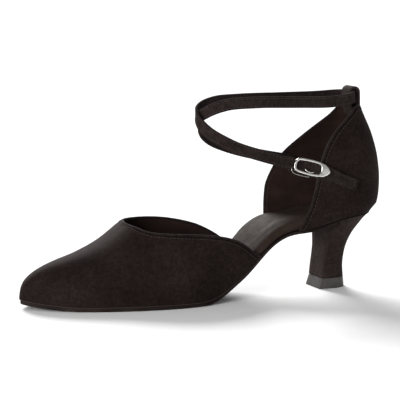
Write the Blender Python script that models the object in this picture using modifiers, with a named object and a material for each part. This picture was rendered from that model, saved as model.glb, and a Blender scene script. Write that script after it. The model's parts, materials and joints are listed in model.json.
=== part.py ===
"""
A left closed-toe ballroom dance shoe with a cut-away waist, a crossed ankle strap and a flared heel.

The toe points along -X, the outer side of the foot is -Y and the shoe stands on z = 0.
The sections are worked out from the toe backwards: x is the distance from the toe tip, and the
whole shoe hangs from one empty that puts its middle over the origin.
"""
import math
from collections import namedtuple

import bmesh
import bpy
import numpy as np
from mathutils import Matrix, Vector

# Driving sizes in metres
SHOE_LENGTH = 0.243
BALL_WIDTH = 0.0735
COUNTER_BULGE = 0.0035
SEAT_LENGTH = SHOE_LENGTH - COUNTER_BULGE
SEAT_HEIGHT = 0.0496
THROAT_HEIGHT = 0.0504
QUARTER_HEIGHT = 0.1180
TOE_SPRING = 0.0032
TOE_SPRING_REACH = 0.0365
TOE_ROUND = 0.0910
HEEL_ROUND = 0.0252

# Walls and thicknesses
CLEARANCE = 0.0003
UPPER_WALL = 0.0016
SOLE_FOREPART = 0.0024
SOLE_WAIST = 0.0016
SOLE_INSET = 0.0005
INSOLE_FOREPART = 0.0024
INSOLE_WAIST = 0.0048
INSOLE_EDGE = 0.0014
INSOLE_EDGE_WAIST = 0.0034
SOCK_MIDDLE = 0.0024
SOCK_EDGE = 0.0010
SOCK_INSET = 0.0009
CROWN_REACH = 0.0080

# Where the sole thins, the insole thickens and thins again and the waist starts, as shares of
# SHOE_LENGTH
SOLE_THINS = (0.45, 0.60)
INSOLE_THICKENS = (0.48, 0.62)
INSOLE_THINS = (0.78, 0.90)
WAIST_START = 0.46

# Heel
HEEL_SEAT = 0.0360
BREAST_LINE = SEAT_LENGTH - HEEL_SEAT
TIP_HEIGHT = 0.0067
TIP_FLARE = 0.0020
FLARE_BACK = 0.33
FLARE_SIDE = 0.20

# Strap, loop and buckle
STRAP_WIDTH = 0.0074
STRAP_THICKNESS = 0.0018
TAB_WIDTH = 0.0086
TAB_DROP = 0.0012
TAB_THICKNESS = 0.0012
LOOP_WIDTH = 0.0120
LOOP_THICKNESS = 0.0012
LOOP_HEIGHT = 0.0124
LOOP_LENGTH = 0.0078
BUCKLE_LENGTH = 0.0250
BUCKLE_WIDTH = 0.0100
BUCKLE_PLATE = 0.0014
BUCKLE_BAR = 0.0005
BUCKLE_POST = 0.00045
BAND_STEP = 0.0035

# Layers over the quarter at the buckle: tab, bar, strap and the frame's plate
TAB_BED = TAB_THICKNESS + 2 * CLEARANCE
BAR_HEIGHT = TAB_BED + BUCKLE_BAR
STRAP_OVER_BAR = BAR_HEIGHT + BUCKLE_BAR + CLEARANCE + STRAP_THICKNESS / 2
PLATE_HEIGHT = STRAP_OVER_BAR + STRAP_THICKNESS / 2 + CLEARANCE + BUCKLE_PLATE / 2

LATERAL = -1
MEDIAL = 1
SIDES = (LATERAL, MEDIAL)

# Outline of the last: at is a share of SHOE_LENGTH, the rest are shares of half the ball width
Outline = namedtuple("Outline", "at centre half")
OUTLINE = (
    Outline(0.00, 0.068, 0.60),
    Outline(0.05, 0.056, 0.69),
    Outline(0.10, 0.044, 0.80),
    Outline(0.20, 0.034, 0.91),
    Outline(0.29, 0.022, 0.982),
    Outline(0.35, 0.000, 1.00),
    Outline(0.40, -0.024, 0.985),
    Outline(0.46, -0.046, 0.91),
    Outline(0.55, -0.044, 0.745),
    Outline(0.62, -0.026, 0.665),
    Outline(0.70, 0.000, 0.655),
    Outline(0.78, 0.000, 0.690),
    Outline(0.88, 0.000, 0.697),
    Outline(1.00, 0.000, 0.685),
)

# Underside of the sole behind the flat forepart, as a share of the seat's height
Tread = namedtuple("Tread", "at rise")
TREAD = (
    Tread(0.430, 0.000),
    Tread(0.450, 0.007),
    Tread(0.470, 0.026),
    Tread(0.492, 0.066),
    Tread(0.521, 0.148),
    Tread(0.554, 0.252),
    Tread(0.582, 0.352),
    Tread(0.609, 0.472),
    Tread(0.636, 0.604),
    Tread(0.663, 0.713),
    Tread(0.706, 0.809),
    Tread(0.731, 0.826),
    Tread(0.761, 0.839),
    Tread(0.782, 0.857),
    Tread(0.811, 0.899),
    Tread(0.840, 0.937),
    Tread(0.880, 0.979),
    Tread(0.937, 1.000),
    Tread(1.000, 1.000),
)

# Ridge of the last above the feather line, as a share of the rise at the throat
Crown = namedtuple("Crown", "at rise")
CROWN = (
    Crown(0.000, 0.94),
    Crown(0.013, 0.865),
    Crown(0.024, 0.800),
    Crown(0.056, 0.752),
    Crown(0.100, 0.732),
    Crown(0.142, 0.727),
    Crown(0.185, 0.765),
    Crown(0.229, 0.842),
    Crown(0.276, 1.00),
    Crown(0.310, 1.09),
    Crown(0.360, 1.22),
    Crown(0.420, 1.38),
    Crown(0.480, 1.52),
    Crown(0.550, 1.62),
    Crown(0.640, 1.60),
)
SIDE_FULLNESS = 0.80
TOE_RUN_OUT = 2.5

# Top line of the vamp, from the throat to the wing's point: at is a share of SHOE_LENGTH,
# height is a share of THROAT_HEIGHT
THROAT = 0.276
TopLine = namedtuple("TopLine", "at height")
TOP_LINE = {
    LATERAL: (
        TopLine(0.276, 1.000),
        TopLine(0.280, 0.997),
        TopLine(0.288, 0.971),
        TopLine(0.300, 0.937),
        TopLine(0.320, 0.910),
        TopLine(0.358, 0.893),
        TopLine(0.410, 0.878),
        TopLine(0.451, 0.860),
        TopLine(0.486, 0.835),
        TopLine(0.518, 0.802),
        TopLine(0.554, 0.738),
        TopLine(0.583, 0.645),
        TopLine(0.607, 0.545),
    ),
    MEDIAL: (
        TopLine(0.276, 1.000),
        TopLine(0.283, 0.999),
        TopLine(0.300, 0.990),
        TopLine(0.370, 0.970),
        TopLine(0.422, 0.945),
        TopLine(0.473, 0.896),
        TopLine(0.518, 0.832),
        TopLine(0.545, 0.770),
        TopLine(0.565, 0.715),
        TopLine(0.590, 0.628),
    ),
}
WING_END = {LATERAL: 0.619, MEDIAL: 0.615}

# Quarter: share is the height from the seat to the top; back is the distance of its back behind
# the seat's back as a share of SHOE_LENGTH; width and depth scale the seat's outline there
Quarter = namedtuple("Quarter", "share back width depth")
QUARTER = (
    Quarter(0.00, 0.0000, 1.00, 1.00),
    Quarter(0.15, 0.0120, 1.02, 1.00),
    Quarter(0.32, 0.0144, 1.03, 1.02),
    Quarter(0.53, 0.0080, 1.00, 1.00),
    Quarter(0.66, -0.0010, 0.92, 0.92),
    Quarter(0.78, -0.0120, 0.78, 0.76),
    Quarter(0.90, -0.0270, 0.60, 0.58),
    Quarter(1.00, -0.0380, 0.47, 0.46),
)
QUARTER_CROWDING = 1.15

# Front edges of the quarter: at is a share of SHOE_LENGTH
FrontEdge = namedtuple("FrontEdge", "share at")
FRONT_EDGE = {
    LATERAL: (
        FrontEdge(0.00, 0.7310),
        FrontEdge(0.19, 0.7630),
        FrontEdge(0.41, 0.7810),
        FrontEdge(0.58, 0.7960),
        FrontEdge(0.70, 0.8180),
        FrontEdge(0.83, 0.8580),
        FrontEdge(0.93, 0.8980),
        FrontEdge(1.00, 0.9180),
    ),
    MEDIAL: (
        FrontEdge(0.00, 0.7170),
        FrontEdge(0.13, 0.7170),
        FrontEdge(0.32, 0.7220),
        FrontEdge(0.44, 0.7410),
        FrontEdge(0.56, 0.7660),
        FrontEdge(0.68, 0.8140),
        FrontEdge(0.79, 0.8560),
        FrontEdge(0.90, 0.8950),
        FrontEdge(1.00, 0.9170),
    ),
}

# Heel: share is the height from the tip to the seat; breast, back and shoulder are shares of the
# seat's length behind the breast line; corner and widest are shares of the seat's half width
HeelLevel = namedtuple("HeelLevel", "share breast back corner widest shoulder")
HEEL = (
    HeelLevel(0.00, -0.092, 0.433, 0.390, 0.402, 0.125),
    HeelLevel(0.12, -0.078, 0.415, 0.398, 0.408, 0.140),
    HeelLevel(0.24, -0.056, 0.411, 0.414, 0.424, 0.153),
    HeelLevel(0.40, -0.022, 0.436, 0.436, 0.456, 0.175),
    HeelLevel(0.54, -0.003, 0.481, 0.461, 0.508, 0.194),
    HeelLevel(0.69, 0.000, 0.572, 0.492, 0.605, 0.222),
    HeelLevel(0.81, 0.000, 0.680, 0.523, 0.723, 0.250),
    HeelLevel(0.93, 0.000, 0.842, 0.580, 0.890, 0.278),
    HeelLevel(1.00, 0.000, 1.000, 0.700, 1.000, 0.300),
)

# Middle line of the strap: at is a share of SHOE_LENGTH, side is a share of half the ball width
# and height is a share of QUARTER_HEIGHT
Route = namedtuple("Route", "at side height")
STRAP_INNER_END = (
    Route(0.695, 0.635, 0.727),
    Route(0.642, 0.610, 0.754),
    Route(0.588, 0.545, 0.790),
    Route(0.547, 0.450, 0.826),
    Route(0.519, 0.340, 0.867),
    Route(0.503, 0.231, 0.907),
    Route(0.4955, 0.122, 0.941),
    Route(0.4885, 0.000, 0.968),
    Route(0.496, -0.136, 0.991),
    Route(0.512, -0.245, 1.014),
    Route(0.540, -0.313, 1.033),
)
STRAP_RING = (
    Route(0.620, -0.340, 1.043),
    Route(0.740, -0.340, 1.037),
    Route(0.856, -0.326, 1.033),
    Route(0.903, -0.285, 1.043),
    Route(0.922, -0.170, 1.050),
    Route(0.9255, 0.000, 1.052),
    Route(0.922, 0.170, 1.052),
    Route(0.903, 0.285, 1.050),
    Route(0.856, 0.326, 1.045),
    Route(0.740, 0.340, 1.044),
    Route(0.620, 0.340, 1.044),
    Route(0.548, 0.313, 1.036),
)
STRAP_OUTER_END = (
    Route(0.512, 0.245, 1.017),
    Route(0.4905, 0.136, 0.996),
    Route(0.4795, 0.000, 0.975),
    Route(0.4770, -0.109, 0.953),
    Route(0.4830, -0.204, 0.922),
    Route(0.4980, -0.313, 0.886),
    Route(0.5270, -0.435, 0.847),
    Route(0.5580, -0.517, 0.813),
    Route(0.6020, -0.599, 0.781),
    Route(0.6540, -0.680, 0.748),
    Route(0.6900, -0.735, 0.727),
)

# Strap's anchor inside the quarter, its tail and the tab's root on the quarter, and the places
# along the buckle that strap and tab run through, as shares of half its length
LaidRoute = namedtuple("LaidRoute", "at height")
STRAP_ANCHOR = (
    LaidRoute(0.802, 0.684),
    LaidRoute(0.774, 0.695),
    LaidRoute(0.742, 0.708),
)
STRAP_TAIL = (
    LaidRoute(0.826, 0.638),
    LaidRoute(0.855, 0.613),
    LaidRoute(0.886, 0.588),
)
TAB_ROOT = (
    LaidRoute(0.806, 0.650),
    LaidRoute(0.822, 0.637),
)
STRAP_UNDER_BUCKLE = (-0.95, -0.35, 0.35, 0.90)
TAB_UNDER_BUCKLE = (-1.08, -0.40, 0.40)

# Tail of the loop inside the quarter: back is a share of the loop's radius and down a share of
# its height
LoopTail = namedtuple("LoopTail", "back down")
LOOP_TAIL = (
    LoopTail(0.5, 0.25),
    LoopTail(0.7, 0.50),
)

# Buckle: where its middle lies, its fall towards the heel and its outline, whose along column is
# a share of half its length and across a share of half its width
BUCKLE_MIDDLE = LaidRoute(0.7535, 0.6925)
BUCKLE_FALL = math.radians(15.0)
FrameRow = namedtuple("FrameRow", "along across")
BUCKLE_OUTLINE = (
    FrameRow(-0.99, 0.20),
    FrameRow(-0.96, 0.52),
    FrameRow(-0.86, 0.80),
    FrameRow(-0.66, 0.93),
    FrameRow(-0.35, 0.98),
    FrameRow(0.00, 1.00),
    FrameRow(0.35, 0.95),
    FrameRow(0.66, 0.80),
    FrameRow(0.86, 0.50),
    FrameRow(0.99, 0.12),
)
BUCKLE_WINDOW = (
    FrameRow(-0.87, 0.18),
    FrameRow(-0.84, 0.42),
    FrameRow(-0.75, 0.60),
    FrameRow(-0.35, 0.70),
    FrameRow(0.10, 0.70),
    FrameRow(0.38, 0.64),
    FrameRow(0.47, 0.45),
    FrameRow(0.50, 0.15),
)

# Finish of each node: colour, roughness and metallic value
SUEDE = ((0.012, 0.009, 0.009), 0.95, 0.0)
SMOOTH_LEATHER = ((0.030, 0.024, 0.022), 0.45, 0.0)
SOLE_SUEDE = ((0.014, 0.012, 0.012), 0.90, 0.0)
TIP_PLASTIC = ((0.060, 0.054, 0.054), 0.50, 0.0)
SILVER = ((0.80, 0.80, 0.80), 0.18, 1.0)

ALIKE = 1e-6


def monotone(points):
    """Returns a smooth curve through points, as a function that never overshoots them."""
    xs = np.array([point[0] for point in points], float)
    ys = np.array([point[1] for point in points], float)
    step = np.diff(xs)
    slope = np.diff(ys) / step
    tangent = np.zeros(len(xs))
    tangent[0] = slope[0]
    tangent[-1] = slope[-1]
    for i in range(1, len(xs) - 1):
        if slope[i - 1] * slope[i] > 0:
            tangent[i] = 2 / (1 / slope[i - 1] + 1 / slope[i])

    def read(x):
        i = int(np.clip(np.searchsorted(xs, x) - 1, 0, len(xs) - 2))
        t = (min(max(x, xs[0]), xs[-1]) - xs[i]) / step[i]
        rise = (ys[i + 1] - ys[i]) * t * t * (3 - 2 * t)
        lead = step[i] * t * (1 - t) * ((1 - t) * tangent[i] - t * tangent[i + 1])
        return float(ys[i] + rise + lead)

    return read


def column(rows, name):
    """Returns one column of a table of sections as a smooth function of the first column."""
    return monotone([(row[0], getattr(row, name)) for row in rows])


OUTLINE_CENTRE = column(OUTLINE, "centre")
OUTLINE_HALF = column(OUTLINE, "half")
TREAD_RISE = column(TREAD, "rise")
CROWN_RISE = column(CROWN, "rise")
QUARTER_BACK = column(QUARTER, "back")
QUARTER_WIDTH = column(QUARTER, "width")
QUARTER_DEPTH = column(QUARTER, "depth")
FRONT_AT = {side: column(FRONT_EDGE[side], "at") for side in SIDES}


def ease(value, start, end):
    """Goes smoothly from 0 at start to 1 at end."""
    t = min(max((value - start) / (end - start), 0.0), 1.0)
    return t * t * (3 - 2 * t)


def round_end(distance, radius, power=2.0):
    """Share of the full width at a distance from a rounded end: a higher power runs out softer."""
    near = min(max(distance / radius, 0.0), 1.0)
    return math.sqrt(max(0.0, 1 - (1 - near) ** power))


def centre(x):
    return BALL_WIDTH / 2 * OUTLINE_CENTRE(x / SHOE_LENGTH)


def half_width(x):
    ends = round_end(x, TOE_ROUND, TOE_RUN_OUT) * round_end(SEAT_LENGTH - x, HEEL_ROUND)
    return BALL_WIDTH / 2 * OUTLINE_HALF(x / SHOE_LENGTH) * ends


def sole_thickness(x):
    thin = ease(x / SHOE_LENGTH, *SOLE_THINS)
    return SOLE_FOREPART + (SOLE_WAIST - SOLE_FOREPART) * thin


def tread(x):
    """Height of the underside of the sole."""
    spring = TOE_SPRING * max(0.0, 1 - x / TOE_SPRING_REACH) ** 2
    return spring + TREAD_RISE(x / SHOE_LENGTH) * (SEAT_HEIGHT - SOLE_WAIST - CLEARANCE)


def sole_top(x):
    return tread(x) + sole_thickness(x)


def feather(x):
    """Height of the bottom edge of the upper and of the insole."""
    return sole_top(x) + CLEARANCE


def instep_rise(x):
    """Height of the last's ridge above the feather line."""
    full = THROAT_HEIGHT - feather(THROAT * SHOE_LENGTH)
    return full * CROWN_RISE(x / SHOE_LENGTH) * round_end(x, TOE_ROUND, TOE_RUN_OUT)


def vamp_point(x, side, angle):
    """A point of the vamp's outside: angle 0 is the feather line, a right angle the ridge."""
    y = centre(x) + side * half_width(x) * max(0.0, math.cos(angle)) ** SIDE_FULLNESS
    z = feather(x) + instep_rise(x) * math.sin(angle)
    return (x, y, z)


def quarter_side(x, share, side):
    """Y of the quarter's outside at a height share above the seat."""
    back = SEAT_LENGTH + QUARTER_BACK(share) * SHOE_LENGTH
    on_seat = SEAT_LENGTH - (back - x) / QUARTER_DEPTH(share)
    return centre(on_seat) + side * half_width(on_seat) * QUARTER_WIDTH(share)


def quarter_share(x, z):
    return (z - feather(x)) / (QUARTER_HEIGHT - feather(x))


def quarter_point(turn, side, share):
    """A point of the quarter's outside: turn 0 is the back seam, 1 the front edge."""
    back = SEAT_LENGTH + QUARTER_BACK(share) * SHOE_LENGTH
    front = FRONT_AT[side](share) * SHOE_LENGTH
    x = back - (back - front) * (1 - math.cos(turn * math.pi / 2))
    z = feather(x) + (QUARTER_HEIGHT - feather(x)) * share
    return (x, quarter_side(x, share, side), z)


def inset_edges(inset):
    """Moves the outline of the last inwards and returns its two ends and its edges over x."""
    turn = np.linspace(0, math.pi, 241)
    xs = SEAT_LENGTH * (1 - np.cos(turn)) / 2
    edges = {}
    for side in SIDES:
        ys = np.array([centre(x) + side * half_width(x) for x in xs])
        along_x = np.gradient(xs)
        along_y = np.gradient(ys)
        length = np.hypot(along_x, along_y)
        moved_x = xs + side * inset * along_y / length
        moved_y = ys - side * inset * along_x / length
        edges[side] = (moved_x, moved_y)

    start = inset
    end = SEAT_LENGTH - inset

    def edge(x, side):
        if x <= start or x >= end:
            return sum(float(np.interp(x, *edges[either])) for either in SIDES) / 2
        return float(np.interp(x, *edges[side]))

    return start, end, edge


def spread(start, end, count, round_start, round_end_too):
    """Places stations from start to end, closer together at a rounded end."""
    shares = np.linspace(0, 1, count)
    if round_start and round_end_too:
        shares = (1 - np.cos(shares * math.pi)) / 2
    elif round_start:
        shares = 1 - np.cos(shares * math.pi / 2)
    elif round_end_too:
        shares = np.sin(shares * math.pi / 2)
    return [start + (end - start) * float(share) for share in shares]


def sheet_stations(start, end):
    """Stations that the sole, the insole and the sock share, so that their gaps stay even."""
    waist = SHOE_LENGTH * WAIST_START
    seat = SEAT_LENGTH - HEEL_ROUND
    marks = spread(0, waist, 21, True, False)
    marks += spread(waist, seat, 25, False, False)[1:]
    marks += spread(seat, SEAT_LENGTH, 9, False, True)[1:]
    inner = [mark for mark in marks if start + CLEARANCE < mark < end - CLEARANCE]
    return [start] + inner + [end]


def finish(name, look):
    """Makes the Principled material of one node."""
    colour, roughness, metallic = look
    material = bpy.data.materials.new(name)
    material.use_nodes = True
    shader = material.node_tree.nodes["Principled BSDF"]
    shader.inputs["Base Color"].default_value = (*colour, 1.0)
    shader.inputs["Roughness"].default_value = roughness
    shader.inputs["Metallic"].default_value = metallic
    material.diffuse_color = (*colour, 1.0)
    return material


def add_object(name, mesh, look, group, parent):
    """Puts a mesh in the group as a named object with its own material."""
    mesh.materials.clear()
    mesh.materials.append(finish(name, look))
    mesh.shade_smooth()
    mesh.set_sharp_from_angle(angle=math.radians(40))
    piece = bpy.data.objects.new(name, mesh)
    piece.parent = parent
    group.objects.link(piece)
    return piece


def mesh_from(name, points, faces, closed=True):
    """Makes a mesh, joins the points that meet and turns a closed one's faces outwards."""
    mesh = bpy.data.meshes.new(name)
    mesh.from_pydata([tuple(point) for point in points], [], faces)
    work = bmesh.new()
    work.from_mesh(mesh)
    bmesh.ops.remove_doubles(work, verts=work.verts, dist=ALIKE)
    bmesh.ops.dissolve_degenerate(work, edges=work.edges, dist=ALIKE)
    if closed:
        bmesh.ops.recalc_face_normals(work, faces=work.faces)
    work.to_mesh(mesh)
    work.free()
    return mesh


def grid_faces(rows, columns, start=0, flip=False):
    """Lists the quads of a grid of points stored row by row."""
    faces = []
    for i in range(rows - 1):
        for j in range(columns - 1):
            a = start + i * columns + j
            quad = (a, a + 1, a + columns + 1, a + columns)
            faces.append(quad[::-1] if flip else quad)
    return faces


def solid_between(name, lower, upper):
    """Closes the space between two grids of points that have the same rows and columns."""
    rows = len(lower)
    columns = len(lower[0])
    count = rows * columns
    points = [point for row in lower for point in row]
    points += [point for row in upper for point in row]
    faces = grid_faces(rows, columns)
    faces += grid_faces(rows, columns, count, True)
    border = [(0, j) for j in range(columns - 1)]
    border += [(i, columns - 1) for i in range(rows - 1)]
    border += [(rows - 1, j) for j in range(columns - 1, 0, -1)]
    border += [(i, 0) for i in range(rows - 1, 0, -1)]
    ring = [i * columns + j for i, j in border]
    for a, b in zip(ring, ring[1:] + ring[:1]):
        faces.append((b, a, a + count, b + count))
    return mesh_from(name, points, faces)


def vamp_mesh():
    """The outside of the vamp: whole in front of the throat, two wings behind it."""
    across = 11
    throat = THROAT * SHOE_LENGTH
    front = spread(0, throat, 17, True, False)
    points = []
    faces = []
    for side in SIDES:
        end = WING_END[side] * SHOE_LENGTH
        rows = [(row.at * SHOE_LENGTH, row.height * THROAT_HEIGHT) for row in TOP_LINE[side]]
        top_line = monotone(rows + [(end, feather(end))])
        stations = front + spread(throat, end, 18, True, True)[1:]
        start = len(points)
        for x in stations:
            top = math.pi / 2
            if x > throat:
                rise = (top_line(x) - feather(x)) / instep_rise(x)
                top = math.asin(min(max(rise, 0.0), 1.0))
            for j in range(across):
                points.append(vamp_point(x, side, top * j / (across - 1)))
        faces += grid_faces(len(stations), across, start, side == LATERAL)
    return mesh_from("vamp", points, faces, closed=False)


def quarter_mesh():
    """The outside of the quarter, from the outer front edge round the back to the inner one."""
    turns = np.linspace(0, 1, 15)
    shares = [1 - (1 - share) ** QUARTER_CROWDING for share in np.linspace(0, 1, 15)]
    route = [(LATERAL, turn) for turn in turns[::-1]]
    route += [(MEDIAL, turn) for turn in turns[1:]]
    points = []
    for share in shares:
        for side, turn in route:
            points.append(quarter_point(turn, side, share))
    faces = grid_faces(len(shares), len(route))
    return mesh_from("quarter", points, faces, closed=False)


def add_wall(piece):
    """Gives an open surface its wall, towards the foot."""
    wall = piece.modifiers.new("wall", "SOLIDIFY")
    wall.thickness = UPPER_WALL
    wall.offset = -1.0
    wall.use_even_offset = True
    wall.use_quality_normals = True


def outsole_mesh():
    """The thin sole from the toe to the heel's breast, as wide as the upper less a small inset."""
    start, _, edge = inset_edges(SOLE_INSET)
    stations = sheet_stations(start, BREAST_LINE - CLEARANCE)
    lower = [[(x, edge(x, side), tread(x)) for side in SIDES] for x in stations]
    upper = [[(x, edge(x, side), sole_top(x)) for side in SIDES] for x in stations]
    return solid_between("outsole", lower, upper)


def insole_edge(x, side, inside, outside):
    """Edge of the insole: inside the walls, and out to the sole's edge where the waist is bare."""
    wing = WING_END[side] * SHOE_LENGTH + 2 * CLEARANCE
    front = FRONT_AT[side](0.0) * SHOE_LENGTH - 2 * CLEARANCE
    turn_in = UPPER_WALL * 2.5
    bare = ease(x, wing, wing + turn_in) * (1 - ease(x, front - turn_in, front))
    return inside(x, side) + (outside(x, side) - inside(x, side)) * bare


def crowned(across, half, edge, middle):
    """Thickness across a crowned sheet: across runs from -1 to 1, and narrow ends stay flat."""
    full = min(1.0, half / CROWN_REACH)
    return edge + (middle - edge) * full * (1 - abs(across) ** 3) ** (1 / 3)


def insole_sizes(x):
    """Thickness of the insole at its edge and in its middle."""
    share = x / SHOE_LENGTH
    waist = ease(share, *INSOLE_THICKENS) * (1 - ease(share, *INSOLE_THINS))
    edge = INSOLE_EDGE + (INSOLE_EDGE_WAIST - INSOLE_EDGE) * waist
    middle = INSOLE_FOREPART + (INSOLE_WAIST - INSOLE_FOREPART) * waist
    return edge, middle


def insole_top(x, across, half):
    edge, middle = insole_sizes(x)
    return feather(x) + crowned(across, half, edge, middle)


def sheet_meshes():
    """The insole and the sock on it, which share their stations and their places across."""
    start, end, inside = inset_edges(UPPER_WALL + 2 * CLEARANCE)
    outside = inset_edges(SOLE_INSET)[2]
    stations = sheet_stations(start, end)
    places = [math.sin(math.pi / 2 * share) for share in np.linspace(-1, 1, 9)]
    grids = {"board": [], "board_top": [], "sock": [], "sock_top": []}
    for x in stations:
        low = insole_edge(x, LATERAL, inside, outside)
        high = insole_edge(x, MEDIAL, inside, outside)
        middle = (low + high) / 2
        half = (high - low) / 2
        grids["board"].append([(x, middle + half * place, feather(x)) for place in places])
        grids["board_top"].append(
            [(x, middle + half * place, insole_top(x, place, half)) for place in places]
        )
        if SOCK_INSET < x - start and SOCK_INSET < end - x and half > SOCK_INSET:
            reach = (half - SOCK_INSET) / half
            under = []
            over = []
            for place in places:
                z = insole_top(x, place * reach, half) + CLEARANCE
                y = middle + half * place * reach
                under.append((x, y, z))
                over.append((x, y, z + crowned(place, half, SOCK_EDGE, SOCK_MIDDLE)))
            grids["sock"].append(under)
            grids["sock_top"].append(over)
    board = solid_between("insole", grids["board"], grids["board_top"])
    sock = solid_between("sock", grids["sock"], grids["sock_top"])
    return board, sock


def heel_outline(level, grow=0.0):
    """Places along one level of the heel: distance from the toe tip and half width."""
    seat = SEAT_LENGTH - BREAST_LINE
    half = half_width(SEAT_LENGTH - HEEL_ROUND)
    breast = BREAST_LINE + level.breast * seat - grow
    back = BREAST_LINE + level.back * seat + grow * FLARE_BACK
    shoulder = BREAST_LINE + level.shoulder * seat
    corner = level.corner * half + grow * FLARE_SIDE
    widest = level.widest * half + grow * FLARE_SIDE
    places = []
    for share in np.linspace(0, 1, 11):
        x = breast + (back - breast) * math.sin(share * math.pi / 2)
        if x < shoulder:
            lean = math.sin(math.pi / 2 * (x - breast) / (shoulder - breast))
            places.append((x, corner + (widest - corner) * lean))
        else:
            round_back = 1 - ((x - shoulder) / (back - shoulder)) ** 2
            places.append((x, widest * math.sqrt(max(0.0, round_back))))
    return places


def stack_mesh(name, levels):
    """Closes a stack of levels, each a list of (x, half width, z), mirrored about y = 0."""
    count = len(levels[0])
    points = []
    faces = []
    for level in levels:
        points += [(x, -half, z) for x, half, z in level]
        points += [(x, half, z) for x, half, z in reversed(level)]
    ring = 2 * count
    for i in range(len(levels) - 1):
        for j in range(ring):
            a = i * ring + j
            b = i * ring + (j + 1) % ring
            faces.append((a, b, b + ring, a + ring))
    for start, flip in ((0, True), ((len(levels) - 1) * ring, False)):
        for j in range(count - 1):
            quad = (start + j, start + j + 1, start + ring - 2 - j, start + ring - 1 - j)
            faces.append(quad[::-1] if flip else quad)
    return mesh_from(name, points, faces)


def heel_mesh():
    """The covered heel: a narrow waist that flares out to the seat."""
    base = TIP_HEIGHT + CLEARANCE
    levels = []
    for level in HEEL:
        places = []
        for x, half in heel_outline(level):
            seat = feather(x) - CLEARANCE
            places.append((x, half, base + (seat - base) * level.share))
        levels.append(places)
    return stack_mesh("heel", levels)


def heel_tip_mesh():
    """The top piece under the heel, flared towards the floor."""
    grown = [(x, half, 0.0) for x, half in heel_outline(HEEL[0], TIP_FLARE)]
    seated = [(x, half, TIP_HEIGHT) for x, half in heel_outline(HEEL[0])]
    return stack_mesh("heel_tip", [grown, seated])


def smooth_route(knots):
    """Reads places BAND_STEP apart from a smooth curve through knots of a point and an up vector."""
    knots = [Vector((*point, *up)) for point, up in knots]
    lengths = [Vector((b - a)[:3]).length for a, b in zip(knots, knots[1:])]
    slopes = [(b - a) / length for a, b, length in zip(knots, knots[1:], lengths)]
    bends = [slopes[0]]
    for i in range(1, len(slopes)):
        share = lengths[i - 1] / (lengths[i - 1] + lengths[i])
        bends.append(slopes[i - 1].lerp(slopes[i], share))
    bends.append(slopes[-1])
    route = []
    for i, length in enumerate(lengths):
        pieces = max(1, round(length / BAND_STEP))
        for k in range(pieces):
            t = k / pieces
            point = knots[i] + slopes[i] * (length * t * t * (3 - 2 * t))
            point += bends[i] * (length * t * (1 - t) ** 2)
            point -= bends[i + 1] * (length * t * t * (1 - t))
            route.append((Vector(point[:3]), Vector(point[3:])))
    route.append((Vector(knots[-1][:3]), Vector(knots[-1][3:])))
    return route


def band_mesh(name, knots, width, thickness):
    """A flat band along a route, with its width as near to each knot's up as the route allows."""
    route = smooth_route(knots)
    sections = []
    for i, (point, up) in enumerate(route):
        ahead = route[min(i + 1, len(route) - 1)][0]
        behind = route[max(i - 1, 0)][0]
        along = (ahead - behind).normalized()
        upright = (up - along * along.dot(up)).normalized()
        outward = along.cross(upright)
        corners = []
        for a, b in ((-1, -1), (-1, 1), (1, 1), (1, -1)):
            corners.append(point + upright * (a * width / 2) + outward * (b * thickness / 2))
        sections.append(corners)
    points = [corner for section in sections for corner in section]
    faces = []
    for i in range(len(sections) - 1):
        for j in range(4):
            a = 4 * i + j
            b = 4 * i + (j + 1) % 4
            faces.append((a, b, b + 4, a + 4))
    last = len(points) - 4
    faces.append((3, 2, 1, 0))
    faces.append((last, last + 1, last + 2, last + 3))
    return mesh_from(name, points, faces)


def free_knots(rows):
    """Turns shares of the shoe's sizes into upright knots."""
    knots = []
    for row in rows:
        side = row.side * BALL_WIDTH / 2
        knots.append(((row.at * SHOE_LENGTH, side, row.height * QUARTER_HEIGHT), (0, 0, 1)))
    return knots


def surface_up(x, z, side):
    """Direction up the quarter's outside."""
    step = STRAP_WIDTH / 4
    high = quarter_side(x, quarter_share(x, z + step), side)
    low = quarter_side(x, quarter_share(x, z - step), side)
    return Vector((0, (high - low) / (2 * step), 1)).normalized()


def laid_knots(rows, side, bed):
    """Places a route along one side of the quarter, its middle line bed out from the outside."""
    knots = []
    for row in rows:
        x = row.at * SHOE_LENGTH
        z = row.height * QUARTER_HEIGHT
        y = quarter_side(x, quarter_share(x, z), side)
        knots.append(((x, y + side * bed, z), surface_up(x, z, side)))
    return knots


def buckle_knots(shares, height, drop=0.0):
    """Places a route along the buckle, at a height over the quarter's surface."""
    place = buckle_place(height)
    across = place.col[1][:3]
    return [(place @ Vector((s * BUCKLE_LENGTH / 2, -drop, 0)), across) for s in shares]


def strap_knots():
    """The strap's middle line: inner anchor, front, ring through the loop, front, buckle, tail."""
    within = UPPER_WALL + 2 * CLEARANCE + STRAP_THICKNESS / 2
    knots = laid_knots(STRAP_ANCHOR, MEDIAL, -within)
    knots += free_knots(STRAP_INNER_END + STRAP_RING + STRAP_OUTER_END)
    knots += buckle_knots(STRAP_UNDER_BUCKLE, STRAP_OVER_BAR)
    return knots + laid_knots(STRAP_TAIL, LATERAL, TAB_BED + STRAP_THICKNESS / 2)


def tab_knots():
    """The tab's middle line: under the buckle and back onto the quarter."""
    bed = CLEARANCE + TAB_THICKNESS / 2
    front = buckle_knots(TAB_UNDER_BUCKLE, bed, TAB_DROP)
    return front + laid_knots(TAB_ROOT, LATERAL, bed)


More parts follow.
